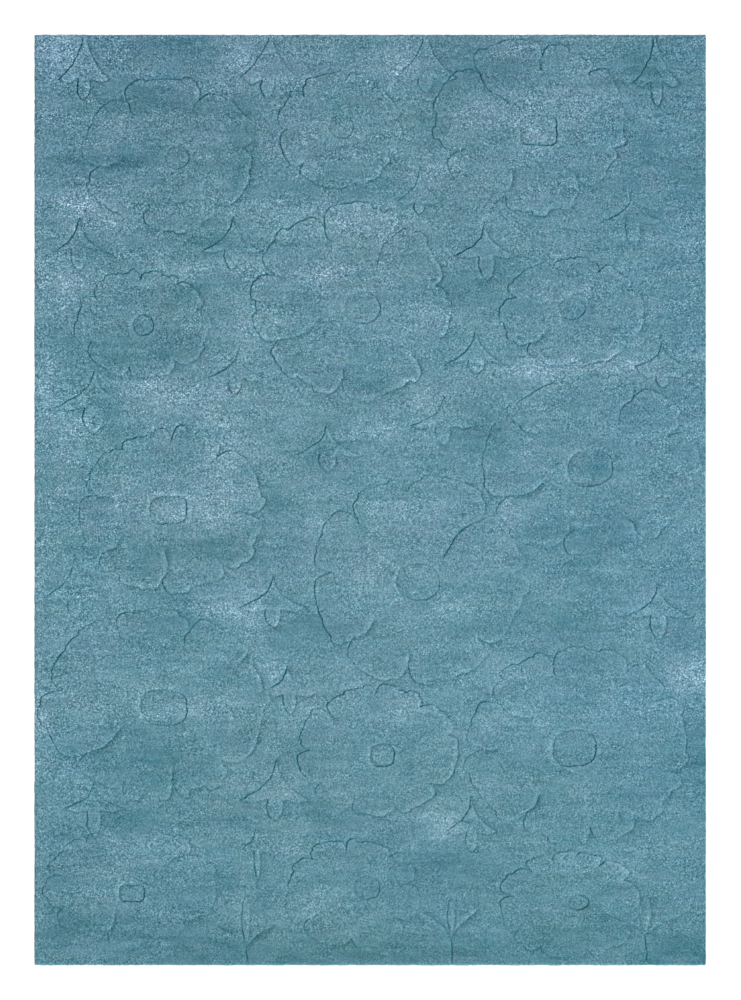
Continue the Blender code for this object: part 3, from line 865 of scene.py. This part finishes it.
def ground_tone_and_bevel_shade(x, y):
    """Lighter between the flowers than on them, and painted shade of the carved bevel just inside their edges.
    """
    reach = np.full(len(x), 9.0)
    for flower in FLOWERS:
        reach = np.minimum(reach, np.hypot((x - flower.x) / flower.rx, (y - flower.y) / flower.ry))
    between = np.clip((reach - DARKEST_REACH) / 0.12, 0.0, 1.0)
    return -0.5 + 1.4 * between - 1.0 * np.exp(-((reach - DARKEST_REACH) / 0.07) ** 2)


def rim_painted_light(x, y):
    """A painted highlight close to the rug's edge, and painted shade just inside the right one, in shares of 1
    and not 255.
    """
    beside = HALF_SIDES[0] - np.abs(x)
    ends = HALF_SIDES[1] - np.abs(y)
    right = np.interp(beside, RIM_PAINTED_LIGHT_INSETS, RIGHT_RIM_PAINTED_LIGHT)
    elsewhere = np.interp(np.minimum(beside, ends), RIM_PAINTED_LIGHT_INSETS, OTHER_RIM_PAINTED_LIGHT)
    return np.where((x > 0) & (beside < ends), right, elsewhere)


def lively_share(x, y):
    """How strongly the tufts stand out over the whole rug: most along the top and the left side."""
    x, y = over_the_rug(x, y)
    return 0.85 * (0.957 - 0.086 * x + 0.155 * y + 0.158 * x * x)


def hue_rosy(x, y):
    """Redder towards the rug's top, greener towards its lower right."""
    slow = 1.9 * noise(x / 0.22, y / 0.12, 41) + 1.5 * noise(x / 0.08, y / 0.04, 43)
    x, y = over_the_rug(x, y)
    return slow + 0.6 - 1.6 * x + 2.3 * y - 1.9 * x * x + 1.2 * y * y + 0.9 * y ** 3


def hue_blue(x, y):
    """Bluer along the right side."""
    slow = 1.3 * noise(x / 0.2, y / 0.11, 42) + 1.0 * noise(x / 0.07, y / 0.035, 44)
    x, y = over_the_rug(x, y)
    return slow - 0.6 + 1.2 * x + 0.6 * y + 1.7 * x * x - 1.4 * x * y * y + 1.1 * y ** 3


def put_attribute(mesh, name, values):
    """Gives the mesh a value at each corner, which the material reads by name."""
    attribute = mesh.attributes.new(name, "FLOAT", "POINT")
    attribute.data.foreach_set("value", np.asarray(values, np.float32))


def dressed_rug():
    """The rug with its wool, and the values that the wool reads at each corner."""
    mesh, (share, shaded, crest, lit) = rug_mesh(carved_curves())
    places = np.zeros(len(mesh.vertices) * 3)
    mesh.vertices.foreach_get("co", places)
    x, y, _ = places.reshape(-1, 3).T
    # groove: painted shade in the grooves, deepest where their steep side turns from the side light; crest: a
    # painted highlight on the brushed pile beside them, strongest where it is lit
    put_attribute(mesh, "groove", 0.4 * share + 0.6 * shaded)
    put_attribute(mesh, "crest", (0.4 * crest + 0.5 * lit) * (1 - share))
    # nap: painted sheen and shade where the nap lies light or dark
    put_attribute(mesh, "nap", nap_painted_sheen(x, y) / 255)
    # wide: the slow tone over the rug, the ground's tone with the flowers' painted bevel shade, and the painted
    # light along the rim
    put_attribute(mesh, "wide", (wide_tone(x, y) + ground_tone_and_bevel_shade(x, y)) / 255 + rim_painted_light(x, y))
    put_attribute(mesh, "lively", lively_share(x, y))
    put_attribute(mesh, "rosy", hue_rosy(x, y) / 255)
    put_attribute(mesh, "blue", hue_blue(x, y) / 255)
    rug = bpy.data.objects.new("rug", mesh)
    bpy.context.scene.collection.objects.link(rug)
    for polygon in mesh.polygons:
        polygon.use_smooth = polygon.normal.z > -0.9
    mesh.materials.append(wool())
    return rug


# Wool


class Graph:
    """Short ways to add a material's nodes and join them."""

    def __init__(self, name):
        self.material = bpy.data.materials.new(name)
        self.material.use_nodes = True
        self.nodes = self.material.node_tree.nodes
        self.links = self.material.node_tree.links
        self.shader = self.nodes["Principled BSDF"]

    def add(self, kind, inputs=(), **settings):
        made = self.nodes.new(kind)
        for key, value in settings.items():
            setattr(made, key, value)
        for socket, value in dict(inputs).items():
            self.put(made.inputs[socket], value)
        return made

    def put(self, socket, value):
        if isinstance(value, bpy.types.NodeSocket):
            self.links.new(value, socket)
        else:
            socket.default_value = value

    def set_shader(self, **values):
        for name, value in values.items():
            self.put(self.shader.inputs[name.replace("_", " ")], value)

    def math(self, operation, first, second=0.0, third=0.0):
        return self.add("ShaderNodeMath", {0: first, 1: second, 2: third}, operation=operation).outputs[0]

    def sum(self, *values):
        total = values[0]
        for value in values[1:]:
            total = self.math("ADD", total, value)
        return total

    def times(self, first, second):
        return self.math("MULTIPLY", first, second)

    def weighed(self, parts, weights):
        """The sum of the parts, each times the weight that has its name."""
        return self.sum(*(self.times(parts[name], weight) for name, weight in weights.items()))

    def between(self, value, low, high, to_low=0.0, to_high=1.0):
        inputs = {"Value": value, "From Min": low, "From Max": high, "To Min": to_low, "To Max": to_high}
        return self.add("ShaderNodeMapRange", inputs).outputs[0]

    def stretched(self, place, factors):
        return self.add("ShaderNodeVectorMath", {0: place, 1: factors}, operation="MULTIPLY").outputs[0]

    def noise(self, place, scale, detail=0.0):
        """Noise from -0.5 to 0.5."""
        made = self.add("ShaderNodeTexNoise", {"Vector": place, "Scale": scale, "Detail": detail})
        return self.math("SUBTRACT", made.outputs[0], 0.5)

    def band(self, place, sizes):
        """Noise with its own number of changes a metre each way."""
        scales, detail = sizes
        return self.noise(self.stretched(place, scales), 1.0, detail)

    def mix(self, share, first, second):
        return self.add("ShaderNodeMix", {0: share, 6: first, 7: second}, data_type="RGBA").outputs[2]

    def attribute(self, name):
        return self.add("ShaderNodeAttribute", attribute_name=name).outputs["Fac"]


def pile_noises(g, fibre):
    """The tufts, their yarn ends, and finer and coarser noise, each round 0."""
    tufts = g.add("ShaderNodeTexVoronoi", {"Vector": fibre, "Scale": TUFTS}).outputs["Distance"]
    return {
        "fine": g.between(g.noise(fibre, TUFTS, 0.5), -0.17, 0.17, -0.5, 0.5),
        "sharp": g.noise(fibre, YARN_ENDS),
        "tufts": g.math("SUBTRACT", 0.45, tufts),
        "coarse": g.noise(fibre, COARSE, 1.0),
    }


def pile_grain(g, place, fibre, nap, noises):
    """Light and dark tufts, which stand out more where the painted nap sheen is light, with some brighter
    flecks.
    """
    calm = g.band(place, CALM)
    lively = g.sum(g.between(nap, -0.04, 0.08, 0.84, 1.85), g.times(calm, 2.2))
    lively = g.times(g.math("MAXIMUM", lively, 0.35), g.attribute("lively"))
    grain = g.times(g.weighed(noises, GRAIN), lively)
    flecks = g.between(g.noise(g.stretched(fibre, (0.7, 1.1, 1.0)), FLECKS, 1.0), 0.11, 0.25)
    brighter = g.times(g.times(grain, grain), BRIGHTER_BRIGHTS)
    return g.sum(grain, brighter, g.times(g.times(flecks, lively), FLECK_TONE))


def wool_colour(g, place, fibre, height, noises):
    """The colour of the pile: its grain, rows along the weft, the painted sheen of the nap, drifts, painted
    shade in the grooves with a painted highlight beside them, and tints.
    """
    # The nap is painted sheen and shade; through the slow changes it also sets some of the red and blue
    nap_breaks = g.between(g.band(place, NAP_BREAKS), -0.25, 0.25, 0.4, 1.6)
    nap = g.times(g.attribute("nap"), nap_breaks)
    grain = pile_grain(g, place, fibre, nap, noises)
    clumps = g.noise(g.stretched(fibre, (0.7, 1.0, 1.0)), CLUMPS, 1.0)
    slow = g.sum(nap, g.times(clumps, CLUMP_TONE), g.times(g.band(place, DRIFT), DRIFT_TONE))
    rows = g.sum(g.times(g.band(place, ROWS), ROW_TONE), g.times(g.band(place, LINES), LINE_TONE))
    # Painted shade on the wool low in the grooves and at the rim
    low_shade = g.between(height, 0.0085, 0.0125, LOW_PAINTED_SHADE, 0.0)

    # Painted shade in the grooves, deepest where their steep side turns from the side light and with less red,
    # and a painted highlight on the brushed pile beside them, strongest where it faces the light
    groove = g.attribute("groove")
    carved = g.sum(g.times(groove, GROOVE_PAINTED_SHADE), g.times(g.attribute("crest"), CREST_PAINTED_HIGHLIGHT))
    tone = g.sum(grain, slow, rows, low_shade, g.attribute("wide"), carved)

    tint, from_slow, from_groove_shade = RED_SHARES
    red = g.sum(g.attribute("rosy"), g.times(g.band(place, RED_TINT), tint))
    red = g.sum(red, g.times(slow, from_slow), g.times(groove, from_groove_shade))
    tint, from_slow = BLUE_SHARES
    blue = g.sum(g.attribute("blue"), g.times(g.band(place, BLUE_TINT), tint), g.times(slow, from_slow))
    levels = (g.sum(tone, red, WOOL[0]), g.sum(tone, WOOL[1]), g.sum(tone, blue, WOOL[2]))
    seen = g.add("ShaderNodeCombineColor", enumerate(levels)).outputs[0]
    seen = g.stretched(seen, (LIGHT_SHARE, LIGHT_SHARE, LIGHT_SHARE))
    return g.add("ShaderNodeGamma", {0: seen, 1: GAMMA}).outputs[0]


def cotton_weave(g, place):
    """Plain weave with thicker stretches of thread here and there."""
    threads = {"Vector": place, **THREADS}
    warp = g.add("ShaderNodeTexWave", threads, bands_direction="X")
    weft = g.add("ShaderNodeTexWave", threads, bands_direction="Y")
    slubs = g.sum(g.band(place, WEFT_SLUBS), g.band(place, WARP_SLUBS))
    return g.sum(g.math("MAXIMUM", warp.outputs["Fac"], weft.outputs["Fac"]), slubs)


def wool():
    """The rug's one material: wool pile down to the backing, and woven cotton from there."""
    g = Graph("wool")
    place = g.add("ShaderNodeTexCoord").outputs["Object"]
    height = g.add("ShaderNodeSeparateXYZ", {0: place}).outputs[2]
    fibre = g.stretched(place, (1.0, 1.0, 0.25))
    noises = pile_noises(g, fibre)
    weave = cotton_weave(g, place)
    is_pile = g.between(height, 0.0024, 0.0029)
    is_cotton = g.between(is_pile, 0.0, 1.0, WEAVE_RELIEF, 0.0)
    relief = g.sum(g.times(g.weighed(noises, RELIEF), is_pile), g.times(weave, is_cotton))
    bump = g.add("ShaderNodeBump", {"Strength": 0.5, "Distance": 0.0012, "Height": relief}).outputs[0]
    cotton = g.mix(weave, DARK_COTTON, PALE_COTTON)
    pile = wool_colour(g, place, fibre, height, noises)
    g.set_shader(Base_Color=g.mix(is_pile, cotton, pile), Normal=bump)
    g.set_shader(Roughness=0.95, Specular_IOR_Level=0.15, Sheen_Weight=0.12, Sheen_Roughness=0.5)
    return g.material


# Floor, light and camera


def pale_floor():
    mesh = bpy.data.meshes.new("floor")
    side = FLOOR_HALF_SIDE
    corners = [(-side, -side, 0), (side, -side, 0), (side, side, 0), (-side, side, 0)]
    mesh.from_pydata(corners, [], [(0, 1, 2, 3)])
    floor = bpy.data.objects.new("floor", mesh)
    floor.location.z = -FLOOR_BELOW
    bpy.context.scene.collection.objects.link(floor)
    g = Graph("floor")
    g.set_shader(Base_Color=FLOOR_COLOUR, Roughness=1.0, Specular_IOR_Level=0.0)
    mesh.materials.append(g.material)
    return floor


def side_lamp(name, receiver):
    """A wide soft light from the lower right that reaches one object."""
    elevation, azimuth = math.radians(SIDE_ELEVATION), math.radians(SIDE_AZIMUTH)
    lamp = bpy.data.lights.new(name, "SUN")
    lamp.energy = SIDE_LIGHT * math.pi / math.sin(elevation)
    lamp.angle = math.radians(SIDE_SPREAD)
    made = bpy.data.objects.new(name, lamp)
    level = math.cos(elevation)
    towards = Vector((level * math.cos(azimuth), level * math.sin(azimuth), math.sin(elevation)))
    made.rotation_euler = towards.to_track_quat("Z", "Y").to_euler()
    bpy.context.scene.collection.objects.link(made)
    group = bpy.data.collections.new(name)
    group.objects.link(receiver)
    made.light_linking.receiver_collection = group
    return made


def light(rug, floor):
    """Even white light on everything, and the same side light on the rug and, with no shadow, on the floor."""
    world = bpy.data.worlds.new("studio")
    world.use_nodes = True
    background = world.node_tree.nodes["Background"]
    background.inputs["Color"].default_value = (1.0, 1.0, 1.0, 1.0)
    background.inputs["Strength"].default_value = EVEN_LIGHT
    bpy.context.scene.world = world
    side_lamp("rug_light", rug)
    side_lamp("floor_light", floor).data.use_shadow = False


def camera():
    """Far overhead, so that the rug's sides don't show."""
    made = bpy.data.cameras.new("camera")
    made.sensor_width = SENSOR
    made.lens = SENSOR * CAMERA_DISTANCE / FRAME_HEIGHT
    made.clip_end = 100.0
    placed = bpy.data.objects.new("camera", made)
    placed.location = (CAMERA_X, 0.0, THICKNESS + CAMERA_DISTANCE)
    bpy.context.scene.collection.objects.link(placed)
    bpy.context.scene.camera = placed


def main():
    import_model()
    rug = dressed_rug()
    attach(rug, "root")
    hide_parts("wool_rug")
    floor = pale_floor()
    light(rug, floor)
    camera()
    bpy.context.scene.view_settings.view_transform = "Standard"


main()
